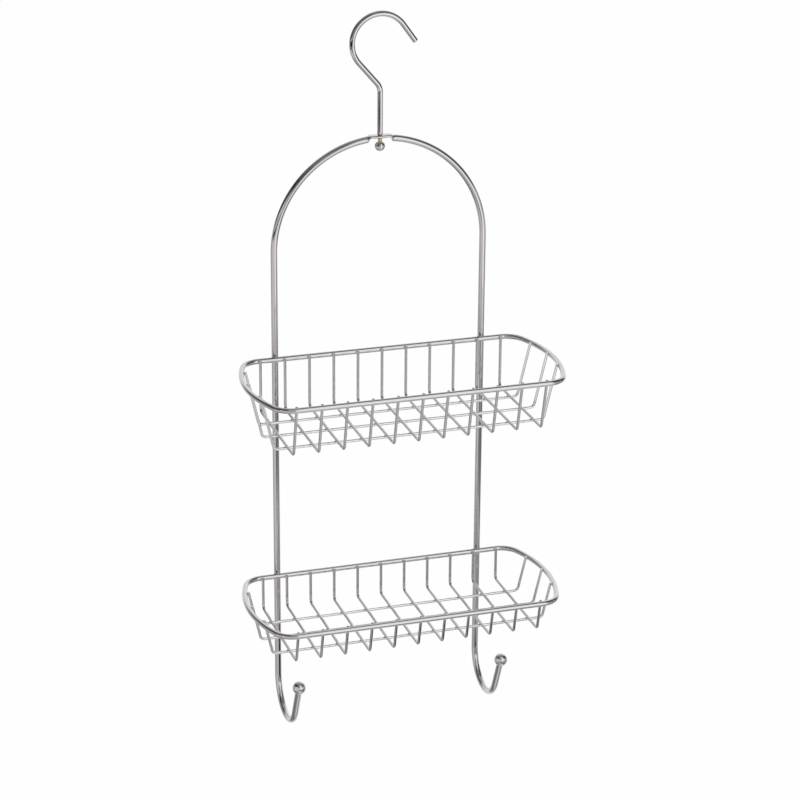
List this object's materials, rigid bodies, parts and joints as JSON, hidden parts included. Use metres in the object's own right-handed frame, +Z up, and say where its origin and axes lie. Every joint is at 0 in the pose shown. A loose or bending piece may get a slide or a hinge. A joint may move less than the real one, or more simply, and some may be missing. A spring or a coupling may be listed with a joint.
{
  "type": "shower caddy",
  "caption": "Hanging wire shower caddy: an arched rod frame carries an upper and a lower open basket, with a swivelling hook above and ball-ended towel hooks below.",
  "frame": {"origin": "inner top of the hanging hook, where it rests on the shower arm, straight above the swivel axis", "axes": "+Z up along the swivel axis, -Y towards the front where the baskets stand, +X to the right along the baskets"},
  "size_m": [0.2664, 0.1287, 0.6059],
  "materials": {
    "frame_chrome": "polished chrome plating on round steel rod",
    "hook_chrome": "polished chrome plating on round steel rod",
    "rim_chrome": "polished chrome plating on round steel wire",
    "wire_chrome": "polished chrome plating on thin steel wire",
    "ball_chrome": "polished chrome ball"
  },
  "bodies": {
    "hook": {"hanging_hook": "hook_chrome", "swivel_ball": "ball_chrome"},
    "caddy": {"frame_rod": "frame_chrome", "left_towel_hook_ball": "ball_chrome", "right_towel_hook_ball": "ball_chrome", "upper_rim": "rim_chrome", "upper_cross_wire_01": "wire_chrome", "upper_cross_wire_02": "wire_chrome", "upper_cross_wire_03": "wire_chrome", "upper_cross_wire_04": "wire_chrome", "upper_cross_wire_05": "wire_chrome", "upper_cross_wire_06": "wire_chrome", "upper_cross_wire_07": "wire_chrome", "upper_cross_wire_08": "wire_chrome", "upper_cross_wire_09": "wire_chrome", "upper_cross_wire_10": "wire_chrome", "upper_cross_wire_11": "wire_chrome", "upper_rear_long_wire": "wire_chrome", "upper_middle_long_wire": "wire_chrome", "upper_front_long_wire": "wire_chrome", "lower_rim": "rim_chrome", "lower_cross_wire_01": "wire_chrome", "lower_cross_wire_02": "wire_chrome", "lower_cross_wire_03": "wire_chrome", "lower_cross_wire_04": "wire_chrome", "lower_cross_wire_05": "wire_chrome", "lower_cross_wire_06": "wire_chrome", "lower_cross_wire_07": "wire_chrome", "lower_cross_wire_08": "wire_chrome", "lower_cross_wire_09": "wire_chrome", "lower_cross_wire_10": "wire_chrome", "lower_cross_wire_11": "wire_chrome", "lower_rear_long_wire": "wire_chrome", "lower_middle_long_wire": "wire_chrome", "lower_front_long_wire": "wire_chrome"}
  },
  "joints": [
    {"name": "hook_swivel", "type": "hinge", "parent": "hook", "child": "caddy", "pos_m": [0, 0, -0.09831], "axis": [0, 0, 1], "continuous": true}
  ]
}
